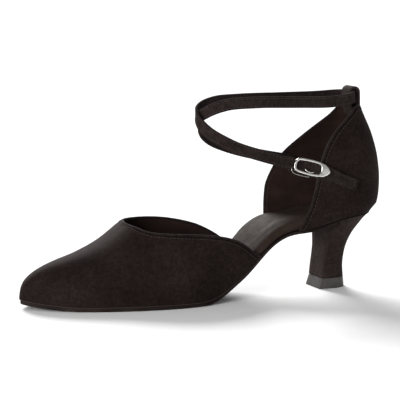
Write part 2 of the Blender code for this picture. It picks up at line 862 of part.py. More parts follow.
def curve_outline(name, loops, thickness, soften):
    """A flat sheet with the first loop as its edge and the others as its windows."""
    curve = bpy.data.curves.new(name, "CURVE")
    curve.dimensions = "2D"
    curve.fill_mode = "BOTH"
    curve.extrude = thickness / 2 - soften
    curve.bevel_depth = soften
    curve.bevel_resolution = 1
    curve.offset = -soften
    for loop in loops:
        spline = curve.splines.new("POLY")
        spline.points.add(len(loop) - 1)
        for point, (x, y) in zip(spline.points, loop):
            point.co = (x, y, 0, 1)
        spline.use_cyclic_u = True
    holder = bpy.data.objects.new(name, curve)
    bpy.context.scene.collection.objects.link(holder)
    shape = holder.evaluated_get(bpy.context.evaluated_depsgraph_get())
    mesh = bpy.data.meshes.new_from_object(shape)
    bpy.data.objects.remove(holder)
    work = bmesh.new()
    work.from_mesh(mesh)
    bmesh.ops.remove_doubles(work, verts=work.verts, dist=ALIKE)
    bmesh.ops.recalc_face_normals(work, faces=work.faces)
    work.to_mesh(mesh)
    work.free()
    return mesh


def loop_mesh():
    """The strap loop: a strip that rises from the quarter's back, folds over and comes down."""
    back = SEAT_LENGTH + QUARTER_BACK(1.0) * SHOE_LENGTH - UPPER_WALL - LOOP_THICKNESS / 2
    front = back - LOOP_LENGTH + LOOP_THICKNESS
    foot = QUARTER_HEIGHT + CLEARANCE
    top = foot + LOOP_HEIGHT - LOOP_THICKNESS / 2
    radius = (back - front) / 2
    middle = [(back, foot), (back, top - radius)]
    for i in range(1, 7):
        turn = math.pi * i / 6
        middle.append((back - radius + radius * math.cos(turn), top - radius + radius * math.sin(turn)))
    middle.append((front, foot + LOOP_THICKNESS))
    for row in LOOP_TAIL:
        middle.append((front + radius * row.back, foot - LOOP_HEIGHT * row.down))
    outer = []
    inner = []
    for i, place in enumerate(middle):
        ahead = Vector(middle[min(i + 1, len(middle) - 1)])
        behind = Vector(middle[max(i - 1, 0)])
        along = (ahead - behind).normalized()
        side = Vector((along.y, -along.x)) * (LOOP_THICKNESS / 2)
        outer.append(tuple(Vector(place) + side))
        inner.append(tuple(Vector(place) - side))
    lower = [[(x, -LOOP_WIDTH / 2, z) for x, z in pair] for pair in zip(outer, inner)]
    upper = [[(x, LOOP_WIDTH / 2, z) for x, z in pair] for pair in zip(outer, inner)]
    return solid_between("heel_loop", lower, upper)


def buckle_place(height):
    """The buckle's own axes: along the strap, across it and away from the foot."""
    x = BUCKLE_MIDDLE.at * SHOE_LENGTH
    z = BUCKLE_MIDDLE.height * QUARTER_HEIGHT
    reach = BUCKLE_LENGTH / 2
    ends = []
    for step in (-reach, reach):
        at = x + step * math.cos(BUCKLE_FALL)
        level = z - step * math.sin(BUCKLE_FALL)
        ends.append(Vector((at, quarter_side(at, quarter_share(at, level), LATERAL), level)))
    along = (ends[1] - ends[0]).normalized()
    outward = along.cross(surface_up(x, z, LATERAL)).normalized()
    across = outward.cross(along)
    middle = (ends[0] + ends[1]) / 2 + outward * height
    return Matrix(
        (
            (along.x, across.x, outward.x, middle.x),
            (along.y, across.y, outward.y, middle.y),
            (along.z, across.z, outward.z, middle.z),
            (0, 0, 0, 1),
        )
    )


def frame_loop(rows):
    """Mirrors a table of the frame's upper edge into a closed loop."""
    upper = [(row.along * BUCKLE_LENGTH / 2, row.across * BUCKLE_WIDTH / 2) for row in rows]
    return upper + [(x, -y) for x, y in reversed(upper)]


def add_rod(name, radius, start, end, place, group, parent):
    """A round rod between two places, which are given in the axes of place."""
    start = Vector(start)
    end = Vector(end)
    mesh = bpy.data.meshes.new(name)
    work = bmesh.new()
    bmesh.ops.create_cone(
        work, cap_ends=True, segments=10, radius1=radius, radius2=radius, depth=(end - start).length
    )
    work.to_mesh(mesh)
    work.free()
    rod = bpy.data.objects.new(name, mesh)
    turn = (end - start).to_track_quat("Z", "Y").to_matrix().to_4x4()
    rod.parent = parent
    rod.matrix_local = place @ Matrix.Translation((start + end) / 2) @ turn
    rod.hide_render = True
    rod.display_type = "WIRE"
    group.objects.link(rod)
    return rod


def add_buckle(group, helpers, parent):
    """The buckle's frame: a flat plate with a window, and a bar held below it by two posts."""
    mesh = curve_outline(
        "buckle_frame",
        [frame_loop(BUCKLE_OUTLINE), frame_loop(BUCKLE_WINDOW)],
        BUCKLE_PLATE,
        BUCKLE_PLATE / 4,
    )
    frame = add_object("buckle_frame", mesh, SILVER, group, parent)
    place = buckle_place(PLATE_HEIGHT)
    frame.matrix_local = place
    drop = BAR_HEIGHT - PLATE_HEIGHT
    edge = BUCKLE_WIDTH / 2 - BUCKLE_POST
    rods = (
        ("buckle_bar", BUCKLE_BAR, (0, -edge, drop), (0, edge, drop)),
        ("buckle_post_low", BUCKLE_POST, (0, -edge, drop - BUCKLE_BAR / 2), (0, -edge, 0)),
        ("buckle_post_high", BUCKLE_POST, (0, edge, drop - BUCKLE_BAR / 2), (0, edge, 0)),
    )
    for name, radius, start, end in rods:
        rod = add_rod(name, radius, start, end, place, helpers, parent)
        join = frame.modifiers.new(name, "BOOLEAN")
        join.operation = "UNION"
        join.object = rod
    return frame


def centre_over_origin(holder, group):
    """Moves the shoe so that the middle of its box is over the origin."""
    bpy.context.view_layer.update()
    graph = bpy.context.evaluated_depsgraph_get()
    corners = []
    for piece in group.objects:
        if piece.type == "MESH":
            shape = piece.evaluated_get(graph)
            corners += [shape.matrix_world @ vertex.co for vertex in shape.data.vertices]
    for axis in (0, 1):
        values = [corner[axis] for corner in corners]
        holder.location[axis] -= (min(values) + max(values)) / 2
    bpy.context.view_layer.update()


def main():
    for old in list(bpy.data.objects):
        bpy.data.objects.remove(old)
    group = bpy.data.collections.new("ballroom_shoe")
    helpers = bpy.data.collections.new("ballroom_shoe_cutters")
    bpy.context.scene.collection.children.link(group)
    bpy.context.scene.collection.children.link(helpers)
    holder = bpy.data.objects.new("shoe", None)
    group.objects.link(holder)

    vamp = add_object("vamp", vamp_mesh(), SUEDE, group, holder)
    add_wall(vamp)
    quarter = add_object("quarter", quarter_mesh(), SUEDE, group, holder)
    add_wall(quarter)
    board, sock = sheet_meshes()
    add_object("outsole", outsole_mesh(), SOLE_SUEDE, group, holder)
    add_object("insole", board, SMOOTH_LEATHER, group, holder)
    add_object("sock", sock, SMOOTH_LEATHER, group, holder)
    add_object("heel", heel_mesh(), SUEDE, group, holder)
    add_object("heel_tip", heel_tip_mesh(), TIP_PLASTIC, group, holder)
    add_object("heel_loop", loop_mesh(), SUEDE, group, holder)
    strap = band_mesh("strap", strap_knots(), STRAP_WIDTH, STRAP_THICKNESS)
    add_object("strap", strap, SUEDE, group, holder)
    tab = band_mesh("buckle_tab", tab_knots(), TAB_WIDTH, TAB_THICKNESS)
    add_object("buckle_tab", tab, SUEDE, group, holder)
    add_buckle(group, helpers, holder)
    centre_over_origin(holder, group)


main()
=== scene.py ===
"""
Looks of a left ballroom dance shoe in black suede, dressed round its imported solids.

The toe points along -X, the outer side of the foot is -Y and the shoe stands on z = 0. Each piece is
worked out from the solid that it stands for. Fine details have sizes and places of their own here, in
metres: edges and stitches, the drawn-in seat, the padding, the creases and the buckle's wire.
"""
import json
import math
from collections import namedtuple

import bmesh
import bpy
import numpy as np
from mathutils import Matrix, Vector
from mathutils.bvhtree import BVHTree

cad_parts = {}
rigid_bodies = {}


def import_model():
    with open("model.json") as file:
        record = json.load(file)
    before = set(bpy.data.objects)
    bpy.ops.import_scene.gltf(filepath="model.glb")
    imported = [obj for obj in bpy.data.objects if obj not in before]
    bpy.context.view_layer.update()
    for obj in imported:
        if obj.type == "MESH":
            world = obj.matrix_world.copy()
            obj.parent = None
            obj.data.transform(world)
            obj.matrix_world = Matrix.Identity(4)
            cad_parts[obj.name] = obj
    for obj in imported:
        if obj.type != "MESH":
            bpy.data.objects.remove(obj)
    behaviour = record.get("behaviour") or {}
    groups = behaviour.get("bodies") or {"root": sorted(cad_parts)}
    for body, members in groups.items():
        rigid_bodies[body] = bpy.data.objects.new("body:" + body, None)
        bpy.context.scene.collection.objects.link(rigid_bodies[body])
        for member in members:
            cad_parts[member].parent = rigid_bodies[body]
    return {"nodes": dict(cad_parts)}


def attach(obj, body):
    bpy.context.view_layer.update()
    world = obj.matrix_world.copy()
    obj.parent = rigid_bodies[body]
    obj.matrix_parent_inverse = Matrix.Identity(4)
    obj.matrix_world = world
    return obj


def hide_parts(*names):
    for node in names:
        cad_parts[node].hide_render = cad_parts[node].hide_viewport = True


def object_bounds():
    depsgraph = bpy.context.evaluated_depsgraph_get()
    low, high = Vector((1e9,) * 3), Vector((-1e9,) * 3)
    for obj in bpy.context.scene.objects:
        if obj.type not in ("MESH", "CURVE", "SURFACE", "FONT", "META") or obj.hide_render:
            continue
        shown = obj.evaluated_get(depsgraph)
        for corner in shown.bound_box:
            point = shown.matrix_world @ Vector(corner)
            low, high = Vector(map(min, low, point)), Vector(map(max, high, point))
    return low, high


# Camera, fitted to the photograph: angles in degrees, distances in metres, offsets in pixels
TURN_TO_TOE = 22.35
CAMERA_RISE = 8.0
CAMERA_ROLL = -0.08
CAMERA_DISTANCE = 1.201
TARGET_HEIGHT = 0.062
FOCAL_PIXELS = 1897.0
OFFSET_RIGHT = 3.8
OFFSET_UP = -1.1
PHOTO_SIZE = 400
SENSOR = 36.0

# Upper's edges: the rim is the turned edge, and the others are fine lines laid as thin tubes. The fold
# line beside each turned edge and the line over the heel are dark tubes of painted shade, in the
# groove and the gap there. FOOT_RISE is more than the quarter's foot climbs above its front corner.
WALL = 0.0016
# The turned edge's tube takes the lighter strap suede: a painted highlight along the rim.
RIM_RADIUS = 0.00098
FOLD_INSET = 0.0010
FOLD_RADIUS = 0.00021
# The line along the sole is a thread line at the seam, lighter than the suede: a painted highlight on
# the sole's top edge.
SOLE_LINE_RADIUS = 0.00020
HEEL_LINE_RADIUS = 0.00034
FOOT_RISE = 0.015

# Lines: their step, the passes that smooth them, and the points and share that thin their ends
LINE_STEP = 0.0008
LINE_PASSES = 5
MOVED_PASSES = 4
RIM_PASSES = 3
LINE_TAPER = 4
TAPER_END = 0.35

# Stitches: each one's own size, then its marks along the line, its sides and its rings end to end
STITCH_INSET = 0.0021
STITCH_PITCH = 0.0024
STITCH_LENGTH = 0.0017
STITCH_WIDTH = 0.00042
STITCH_HEIGHT = 0.00030
STITCH_MARKS = 6
STITCH_SIDES = 6
STITCH_RINGS = (-1.0, -0.75, -0.3, 0.3, 0.75, 1.0)
STITCH_END = 0.2

# Seat drawn in under the counter: how far, from where along the foot, the height where it is drawn in
# most, and the heights above and below which it isn't
TUCK_IN = 0.0044
TUCK_FROM = 0.092
TUCK_HEIGHT = 0.0496
TUCK_TOP = 0.0550
TUCK_FOOT = 0.0390

# Padded sock on its board. The underside drops at the bare waist: UNDER_FROM and UNDER_TO are how far
# a face looks down where the drop starts and where it is whole. From SEAT_FROM to SEAT_TO the skin
# widens towards the counter. Points nearer to the sole than KEPT_EDGE aren't smoothed.
SOCK_SWELL = 0.00022
UNDER_DROP = 0.0011
UNDER_FROM = 0.1
UNDER_TO = 0.5
SEAT_FROM = 0.056
SEAT_TO = 0.064
SEAT_SWELL = 0.0017
KEPT_EDGE = 0.0016
SOCK_VOXEL = 0.0008
SOFTEN_PASSES = 5

# Strap: BAND_END is the size of its section at each end and one step before it
STRAP_STEP = 0.0012
STRAP_STITCH_ACROSS = 0.68
TAIL_ROW = 0.0028
TAIL_POINTS = 9
BAND_END = (0.90, 0.98)

# Meshes: the distance at which points are joined, angles between faces, rounds of refinement, the
# rounding of edges and the strength of one smoothing pass
WELD = 1e-6
QUAD_FOLD = math.radians(40)
QUAD_SKEW = math.radians(70)
SHARP = math.radians(45)
KEPT_SHARP = math.radians(50)
BAND_EDGE = math.radians(55)
UPPER_EDGE = math.radians(60)
UPPER_LEVELS = 2
BLOCK_LEVELS = 2
SOLE_LEVELS = 1
SOCK_LEVELS = 1
BLOCK_ROUND = 0.0004
SOLE_ROUND = 0.0002
ROUND_SEGMENTS = 3
SMOOTH_FACTOR = 0.5

# Section of the strap from its edge to its middle: shares of half its width and half its thickness
STRAP_SECTION = (
    (1.00, 0.00),
    (0.99, 0.45),
    (0.95, 0.80),
    (0.88, 0.98),
    (0.79, 0.98),
    (0.72, 0.84),
    (0.66, 0.84),
    (0.59, 0.96),
    (0.30, 1.00),
    (0.00, 1.00),
)

# Hook in the buckle's window and clip on its tab: along and across are shares of half the buckle's
# length and width, out is the distance from its face in metres
Wire = namedtuple("Wire", "along across out")
HOOK = (
    Wire(-0.36, -0.30, -0.0016),
    Wire(-0.31, -0.46, -0.0009),
    Wire(-0.18, -0.60, -0.0006),
    Wire(-0.02, -0.62, -0.0006),
    Wire(0.12, -0.52, -0.0009),
    Wire(0.19, -0.36, -0.0016),
)
CLIP = (
    Wire(-1.04, -0.42, -0.0024),
    Wire(-1.05, -0.70, -0.0021),
    Wire(-0.98, -1.06, -0.0020),
    Wire(-0.86, -1.20, -0.0020),
    Wire(-0.50, -1.27, -0.0020),
    Wire(-0.06, -1.24, -0.0021),
    Wire(0.02, -1.10, -0.0026),
)
BUCKLE_HALF_LENGTH = 0.0125
BUCKLE_HALF_WIDTH = 0.0050
BUCKLE_VOXEL = 0.00016
POLISH_PASSES = 8
WIRE_RADIUS = 0.00034
CLIP_RADIUS = 0.00013
WIRE_STEP = 0.0005
WIRE_TAPER = 3

# Soft creases and ridges, listed one by one: ends, width and rise. Each fades out at CREASE_REACH
# widths from its line, and keeps a part of its rise at its ends.
CREASE_REACH = 3
CREASE_ENDS = 0.06
Crease = namedtuple("Crease", "start end width rise")
VAMP_CREASES = (
    Crease((-0.062, -0.034, 0.010), (-0.050, -0.016, 0.036), 0.0060, -0.00030),
    Crease((-0.044, -0.036, 0.012), (-0.030, -0.024, 0.036), 0.0060, 0.00025),
    Crease((-0.062, 0.036, 0.010), (-0.050, 0.018, 0.036), 0.0060, -0.00030),
    Crease((-0.098, -0.022, 0.008), (-0.088, 0.000, 0.030), 0.0080, 0.00020),
    Crease((-0.012, -0.034, 0.016), (0.012, -0.027, 0.034), 0.0060, -0.00022),
)
QUARTER_CREASES = (
    Crease((0.060, 0.022, 0.062), (0.084, 0.026, 0.074), 0.0042, -0.00040),
    Crease((0.066, 0.022, 0.074), (0.092, 0.024, 0.088), 0.0048, 0.00025),
    Crease((0.078, -0.026, 0.056), (0.112, -0.018, 0.062), 0.0046, 0.00032),
    Crease((0.082, -0.027, 0.066), (0.110, -0.020, 0.072), 0.0050, -0.00028),
    Crease((0.094, -0.024, 0.078), (0.100, -0.017, 0.100), 0.0060, -0.00018),
)
SOCK_CREASES = (
    Crease((0.020, -0.014, 0.035), (0.060, -0.013, 0.054), 0.0030, 0.00035),
    Crease((0.028, -0.008, 0.040), (0.066, -0.006, 0.055), 0.0026, -0.00035),
    Crease((0.034, 0.002, 0.045), (0.074, 0.004, 0.056), 0.0028, 0.00028),
    Crease((0.030, 0.011, 0.042), (0.060, 0.013, 0.053), 0.0026, -0.00028),
    Crease((0.048, -0.002, 0.050), (0.078, -0.010, 0.056), 0.0024, -0.00025),
)

# Colours, each pair from a material's dark patches to its light ones, and how strongly one pattern is
# laid over another
SUEDE_TONES = ((0.0084, 0.0050, 0.0043), (0.0158, 0.0103, 0.0092))
# The strap's suede, also laid on the turned edges, where its lightness is a painted highlight along
# the rim.
STRAP_AND_RIM_HIGHLIGHT_TONES = ((0.0105, 0.0072, 0.0068), (0.0190, 0.0138, 0.0130))
# The heel's suede is the upper's black suede painted lighter: painted light for the lit breast of the
# heel and for the loop, whose back leg lies in shade.
HEEL_TONES_PAINTED_LIGHTER = ((0.0160, 0.0106, 0.0096), (0.0280, 0.0200, 0.0184))
LINING_TONES = ((0.0165, 0.0090, 0.0072), (0.0280, 0.0158, 0.0128))
SOCK_TONES = ((0.0210, 0.0140, 0.0113), (0.0330, 0.0232, 0.0194))
SOLE_TONES = ((0.0120, 0.0084, 0.0074), (0.0200, 0.0146, 0.0130))
TIP_TONES = ((0.0390, 0.0345, 0.0340), (0.0600, 0.0535, 0.0525))
SILVER_TONES = ((0.62, 0.60, 0.57), (0.82, 0.80, 0.77))
# The thread's colour, also on the line along the sole, where its lightness is a painted highlight on
# the sole's top edge.
THREAD_AND_SOLE_HIGHLIGHT_COLOUR = (0.0500, 0.0370, 0.0335)
# Painted shade: the colour of the dark tubes in the groove beside each turned edge and in the gap
# between the quarter and the heel.
SEAM_SHADE_COLOUR = (0.0035, 0.0022, 0.0020)
SHEEN_COLOUR = (0.62, 0.53, 0.51, 1)
PATTERN_SHARE = 0.9

# Room: the sun stands behind the shoe and shines towards the camera, and the fill stands off the toe.
# Softness is in degrees and power in watts.
FLOOR_HALF = 14.0
FLOOR_COLOUR = (0.97, 0.97, 0.97, 1)
SKY_STRENGTH = 0.34
SUN_TOWARDS = (-0.10, -1.75, -1.0)
SUN_SOFTNESS = 30
SUN_STRENGTH = 5.0
FILL_PLACE = (-1.38, -1.0, 0.30)
FILL_AIM = (0, 0, 0.04)
FILL_SIZE = 1.1
FILL_POWER = 35


# Solids, lines and surfaces


def welded(name):
    """A solid's mesh with its doubled points joined."""
    work = bmesh.new()
    work.from_mesh(FRAME["nodes"][name].data)
    bmesh.ops.remove_doubles(work, verts=work.verts, dist=WELD)
    return work


def node_work(name):
    """A solid's mesh with its points joined and its triangles paired into quads again."""
    work = welded(name)
    bmesh.ops.join_triangles(
        work,
        faces=work.faces,
        angle_face_threshold=QUAD_FOLD,
        angle_shape_threshold=QUAD_SKEW,
    )
    return work


def face_regions(work):
    """Groups of faces that no sharp edge divides, the largest first."""
    seen = set()
    groups = []
    for first in work.faces:
        if first in seen:
            continue
        group = []
        waiting = [first]
        seen.add(first)
        while waiting:
            face = waiting.pop()
            group.append(face)
            for edge in face.edges:
                if len(edge.link_faces) == 2 and edge.calc_face_angle() < SHARP:
                    for other in edge.link_faces:
                        if other not in seen:
                            seen.add(other)
                            waiting.append(other)
        groups.append(group)
    return sorted(groups, key=lambda group: -sum(face.calc_area() for face in group))


def outer_and_inner(work):
    """The outside and the inside of a wall: the outside's faces look away from its middle."""
    pair = face_regions(work)[:2]
    looks = []
    for group in pair:
        area = sum(face.calc_area() for face in group)
        middle = sum((face.calc_center_median() * face.calc_area() for face in group), Vector())
        middle /= area
        away = sum(face.normal.dot(face.calc_center_median() - middle) for face in group)
        looks.append(away)
    return pair if looks[0] > looks[1] else pair[::-1]


def border_loop(group):
    """Points round the border of a group of faces, in order."""
    inside = set(group)
    following = {}
    for face in group:
        for loop in face.loops:
            others = [other for other in loop.edge.link_faces if other is not face]
            if not any(other in inside for other in others):
                following[loop.vert] = loop.link_loop_next.vert
    start = next(iter(following))
    ring = [start]
    while following[ring[-1]] is not start and len(ring) <= len(following):
        ring.append(following[ring[-1]])
    return [vert.co.copy() for vert in ring]


def path_on_loop(ring, start, end, through):
    """The part of a closed loop from start to end that holds the point through."""
    def nearest(point):
        return min(range(len(ring)), key=lambda i: (ring[i] - point).length)

    a = nearest(start)
    b = nearest(end)
    turned = ring[a:] + ring[:a]
    split = (b - a) % len(ring)
    first = turned[:split + 1]
    second = [turned[0]] + turned[:split - 1:-1]
    reach = [min((point - through).length for point in path) for path in (first, second)]
    return first if reach[0] < reach[1] else second


def travelled_along(places):
    """Distance from a line's start to each of its points."""
    steps = np.linalg.norm(np.diff(places, axis=0), axis=1)
    return np.concatenate([[0], np.cumsum(steps)])


def evenly_read(rows, travelled, step):
    """Rows of three numbers along a line, read at even marks about a step apart."""
    marks = np.linspace(0, travelled[-1], max(2, round(travelled[-1] / step) + 1))
    return np.array([np.interp(marks, travelled, rows[:, axis]) for axis in range(3)]).T


def resampled(points, step):
    """Points about a step apart along a line."""
    places = np.array([tuple(point) for point in points])
    return evenly_read(places, travelled_along(places), step)


def relaxed(points, passes):
    """A line with its small corners smoothed away and its ends kept."""
    places = np.array(points, float)
    for _ in range(passes):
        places[1:-1] = places[1:-1] / 2 + (places[:-2] + places[2:]) / 4
    return places


def smooth_line(points, step=LINE_STEP, passes=LINE_PASSES):
    """A line read at even steps and smoothed."""
    return relaxed(resampled(points, step), passes)


class Surface:
    """Faces of a piece, to lay lines and stitches on or to measure distances from."""

    def __init__(self, group):
        places = []
        polygons = []
        for face in group:
            polygons.append(list(range(len(places), len(places) + len(face.verts))))
            places += [vert.co.copy() for vert in face.verts]
        self.tree = BVHTree.FromPolygons(places, polygons)

    def nearest(self, point):
        """The nearest place on the faces, the way they face there and its distance."""
        place, normal, _, distance = self.tree.find_nearest(Vector(point))
        return place, normal, distance


def line_frames(line, surface):
    """Smoothed surface normals and tangents along a line."""
    normals = relaxed([tuple(surface.nearest(point)[1]) for point in line], MOVED_PASSES)
    tangents = np.gradient(np.array(line), axis=0)
    normals /= np.linalg.norm(normals, axis=1)[:, None]
    tangents /= np.linalg.norm(tangents, axis=1)[:, None]
    return normals, tangents


def inset_line(line, surface, inset):
    """A line moved inwards along the surface from its border."""
    normals, tangents = line_frames(line, surface)
    inward = np.cross(normals, tangents)
    middle = len(line) // 2
    tries = [surface.nearest(line[middle] + sign * inset * inward[middle])[2] for sign in (1, -1)]
    if tries[1] < tries[0]:
        inward = -inward
    moved = [tuple(surface.nearest(place)[0]) for place in line + inward * inset]
    return smooth_line(moved, passes=MOVED_PASSES)


# New pieces and their meshes


def link(thing):
    """Puts an object in the scene."""
    bpy.context.scene.collection.objects.link(thing)
    return thing


def link_piece(piece, replaces=()):
    """Lets a new piece ride on the shoe and hides the solids that it replaces."""
    link(piece)
    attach(piece, "root")
    if replaces:
        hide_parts(*replaces)
    return piece


def mesh_piece(name, points, faces, material, replaces=()):
    """A new piece from its points and faces."""
    mesh = bpy.data.meshes.new(name)
    mesh.from_pydata([tuple(point) for point in points], [], faces)
    mesh.materials.append(material)
    mesh.shade_smooth()
    return link_piece(bpy.data.objects.new(name, mesh), replaces)


def tube(name, line, radius, material, taper=0):
    """A round cord along a line, thinner over taper points at its ends."""
    curve = bpy.data.curves.new(name, "CURVE")
    curve.dimensions = "3D"
    curve.bevel_depth = radius
    curve.bevel_resolution = 3
    curve.use_fill_caps = True
    spline = curve.splines.new("POLY")
    spline.points.add(len(line) - 1)
    for i, (point, place) in enumerate(zip(spline.points, line)):
        near = min(i, len(line) - 1 - i)
        point.co = (*place, 1)
        point.radius = min(1.0, TAPER_END + (1 - TAPER_END) * near / taper) if taper else 1.0
    curve.materials.append(material)
    return link_piece(bpy.data.objects.new(name, curve))


def stitch_row(name, line, surface, material):
    """Short threads end to end along a line on a surface, each with closed ends."""
    line = resampled(line, STITCH_PITCH / STITCH_MARKS)
    half = STITCH_MARKS // 2
    points = []
    faces = []
    for i in range(half, len(line) - half, STITCH_MARKS):
        place, normal, _ = surface.nearest(line[i])
        along = Vector(line[i + 2]) - Vector(line[i - 2])
        along.normalize()
        across = normal.cross(along).normalized()
        outward = along.cross(across)
        start = len(points)
        for ring in STITCH_RINGS:
            size = STITCH_END + (1 - STITCH_END) * math.sqrt(max(0.0, 1 - ring * ring))
            for k in range(STITCH_SIDES):
                turn = 2 * math.pi * k / STITCH_SIDES
                point = place + along * (ring * STITCH_LENGTH / 2)
                point += across * (math.cos(turn) * size * STITCH_WIDTH / 2)
                point += outward * (math.sin(turn) * size * STITCH_HEIGHT)
                points.append(point)
        for low in range(start, len(points) - STITCH_SIDES, STITCH_SIDES):
            high = low + STITCH_SIDES
            for k in range(STITCH_SIDES):
                after = (k + 1) % STITCH_SIDES
                faces.append((low + k, low + after, high + after, high + k))
        faces.append(tuple(range(start, start + STITCH_SIDES))[::-1])
        faces.append(tuple(range(len(points) - STITCH_SIDES, len(points))))
    return mesh_piece(name, points, faces, material)


def fade(value, start, end):
    """Goes smoothly from 0 at start to 1 at end."""
    share = min(max((value - start) / (end - start), 0.0), 1.0)
    return share * share * (3 - 2 * share)


def tucked(place):
    """How far the seat is drawn in at a place, where the upper turns under at the back."""
    back = fade(place.x, TUCK_FROM, CAD_BOX[1][0])
    above = min(max((TUCK_TOP - place.z) / (TUCK_TOP - TUCK_HEIGHT), 0.0), 1.0)
    below = fade(place.z, TUCK_FOOT, TUCK_HEIGHT)
    return Vector((-TUCK_IN * back * above * below, 0, 0))


def applied(holder):
    """The mesh of an object with its modifiers applied. The object itself goes."""
    shape = holder.evaluated_get(bpy.context.evaluated_depsgraph_get())
    made = bpy.data.meshes.new_from_object(shape)
    bpy.data.objects.remove(holder)
    return made


def fine_mesh(name, work, levels, crease_angle=None, materials=()):
    """A smooth, finer mesh of a solid with the seat drawn in. Edges over crease_angle stay sharp."""
    if crease_angle is not None:
        layer = work.edges.layers.float.new("crease_edge")
        for edge in work.edges:
            if len(edge.link_faces) == 2 and edge.calc_face_angle() > crease_angle:
                edge[layer] = 1.0
    mesh = bpy.data.meshes.new(name)
    for material in materials:
        mesh.materials.append(material)
    work.to_mesh(mesh)
    holder = link(bpy.data.objects.new(name, mesh))
    finer = holder.modifiers.new("finer", "SUBSURF")
    finer.levels = levels
    finer.render_levels = levels
    made = applied(holder)
    made.name = name
    for vertex in made.vertices:
        vertex.co += tucked(vertex.co)
    made.shade_smooth()
    return made


def relief(place, creases):
    """Rise of the surface at a place, from the soft troughs and ridges listed in the creases."""
    rise = 0.0
    for crease in creases:
        start = Vector(crease.start)
        run = Vector(crease.end) - start
        share = min(max((place - start).dot(run) / run.length_squared, 0.0), 1.0)
        away = (place - start - run * share).length
        if away < CREASE_REACH * crease.width:
            ends = math.sin(math.pi * min(max(share, CREASE_ENDS), 1 - CREASE_ENDS)) ** 0.5
            rise += crease.rise * ends * math.exp(-(away / crease.width) ** 2)
    return rise


def lay_creases(mesh, creases, top_only=False):
    """Moves the points of a mesh in and out by its creases, on its upper side alone where asked."""
    moves = [(vertex.normal.copy(), relief(vertex.co, creases)) for vertex in mesh.vertices]
    for vertex, (normal, rise) in zip(mesh.vertices, moves):
        vertex.co += normal * (rise * max(normal.z, 0.0) if top_only else rise)


# Materials

Bump = namedtuple("Bump", "pattern strength height")


def new_material(name):
    """A new material, its node tree and its shader."""
    material = bpy.data.materials.new(name)
    material.use_nodes = True
    return material, material.node_tree, material.node_tree.nodes["Principled BSDF"]


def noise(tree, waves, detail=3.0, stretch=(1, 1, 1)):
    """A noise pattern in the shoe's own metres, with so many waves to a metre."""
    place = tree.nodes.new("ShaderNodeTexCoord")
    mapping = tree.nodes.new("ShaderNodeMapping")
    mapping.inputs["Scale"].default_value = stretch
    pattern = tree.nodes.new("ShaderNodeTexNoise")
    pattern.inputs["Scale"].default_value = waves
    pattern.inputs["Detail"].default_value = detail
    tree.links.new(place.outputs["Object"], mapping.inputs["Vector"])
    tree.links.new(mapping.outputs["Vector"], pattern.inputs["Vector"])
    return pattern.outputs["Fac"]


def grain_cells(tree, waves):
    """A pattern of small pebbled cells, with so many to a metre."""
    place = tree.nodes.new("ShaderNodeTexCoord")
    cells = tree.nodes.new("ShaderNodeTexVoronoi")
    cells.inputs["Scale"].default_value = waves
    tree.links.new(place.outputs["Object"], cells.inputs["Vector"])
    return cells.outputs["Distance"]


def greys(low, high):
    """A pair of greys, which also stands for a pair of plain values."""
    return (low,) * 3, (high,) * 3


def ramp(tree, pattern, tones, start=0.35, end=0.65):
    """Colours between two tones: the first up to a pattern's start value, the second from its end."""
    ramp_node = tree.nodes.new("ShaderNodeValToRGB")
    for element, position, tone in zip(ramp_node.color_ramp.elements, (start, end), tones):
        element.position = position
        element.color = (*tone, 1)
    tree.links.new(pattern, ramp_node.inputs["Fac"])
    return ramp_node.outputs["Color"]


def blended(tree, first, second):
    """One colour with another multiplied over it."""
    mix = tree.nodes.new("ShaderNodeMix")
    mix.data_type = "RGBA"
    mix.blend_type = "MULTIPLY"
    mix.inputs["Factor"].default_value = PATTERN_SHARE
    tree.links.new(first, mix.inputs["A"])
    tree.links.new(second, mix.inputs["B"])
    return mix.outputs["Result"]


def bumped(tree, shader, *layers):
    """Stacks bumps on a shader, each a pattern with its strength and its height in metres."""
    before = None
    for layer in layers:
        bump = tree.nodes.new("ShaderNodeBump")
        bump.inputs["Strength"].default_value = layer.strength
        bump.inputs["Distance"].default_value = layer.height
        tree.links.new(layer.pattern, bump.inputs["Height"])
        if before is not None:
            tree.links.new(before, bump.inputs["Normal"])
        before = bump.outputs["Normal"]
    tree.links.new(before, shader.inputs["Normal"])


def make_suede(name, tones):
    """Suede: a fine nap that catches light at grazing angles, with brushed patches."""
    material, tree, shader = new_material(name)
    patches = ramp(tree, noise(tree, waves=45, detail=4), tones, start=0.30, end=0.72)
    brushed = ramp(tree, noise(tree, waves=380), greys(0.74, 1.28))
    fibres = ramp(tree, noise(tree, waves=1500, detail=2), greys(0.55, 1.40), start=0.3, end=0.7)
    napped = blended(tree, blended(tree, patches, brushed), fibres)
    tree.links.new(napped, shader.inputs["Base Color"])
    shader.inputs["Roughness"].default_value = 0.95
    shader.inputs["Specular IOR Level"].default_value = 0.06
    shader.inputs["Sheen Weight"].default_value = 0.09
    shader.inputs["Sheen Roughness"].default_value = 0.40
    shader.inputs["Sheen Tint"].default_value = SHEEN_COLOUR
    folds = Bump(noise(tree, waves=90), strength=0.25, height=0.0006)
    nap = Bump(noise(tree, waves=1700), strength=0.55, height=0.00022)
    bumped(tree, shader, folds, nap)
    return material


